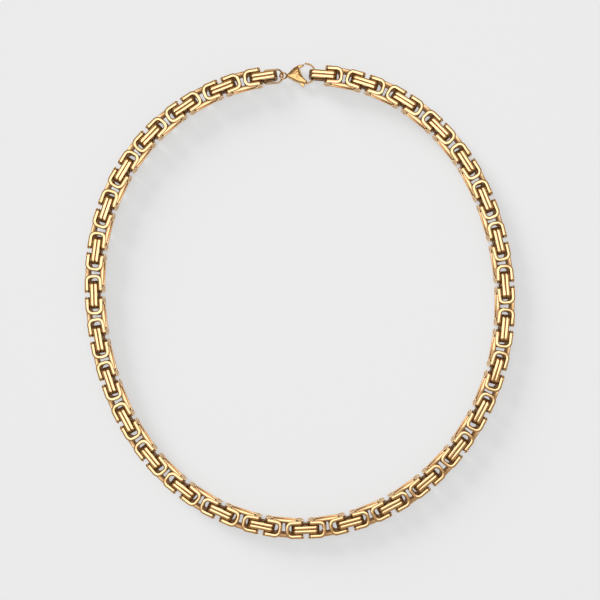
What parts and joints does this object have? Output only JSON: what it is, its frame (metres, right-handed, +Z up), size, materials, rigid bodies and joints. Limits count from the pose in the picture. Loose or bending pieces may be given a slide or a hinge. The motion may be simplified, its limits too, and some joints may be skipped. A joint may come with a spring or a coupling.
{
  "type": "byzantine chain necklace",
  "caption": "Heavy gold-coloured byzantine chain necklace of flat-topped interlocking links, closed by a lobster clasp with a hinged lever, lying flat.",
  "frame": {"origin": "middle of the necklace's outline on the surface that it lies on", "axes": "+Z up from the surface; +Y towards the clasp, along the loop's length; +X towards the side that the claw opens to, clockwise along the chain from the claw"},
  "size_m": [0.1882, 0.2092, 0.0069],
  "materials": {
    "chain_gold": "polished yellow gold plate over brass, brighter on the flat tops, brown in the recesses",
    "clasp_gold": "polished yellow gold plate over cast brass"
  },
  "bodies": {
    "necklace": {"chain_right": "chain_gold", "chain_left": "chain_gold", "end_link": "chain_gold", "clasp_body": "clasp_gold", "clasp_pin": "clasp_gold"},
    "lever": {"clasp_lever": "clasp_gold"}
  },
  "joints": [
    {"name": "lever_swing", "type": "hinge", "parent": "necklace", "child": "lever", "pos_m": [-0.00115, 0.09788, 0.0022], "axis": [0, 0, 1], "range_deg": [-20, 0], "stiffness_Nm_per_rad": 0.002, "springref_deg": 8.59}
  ]
}
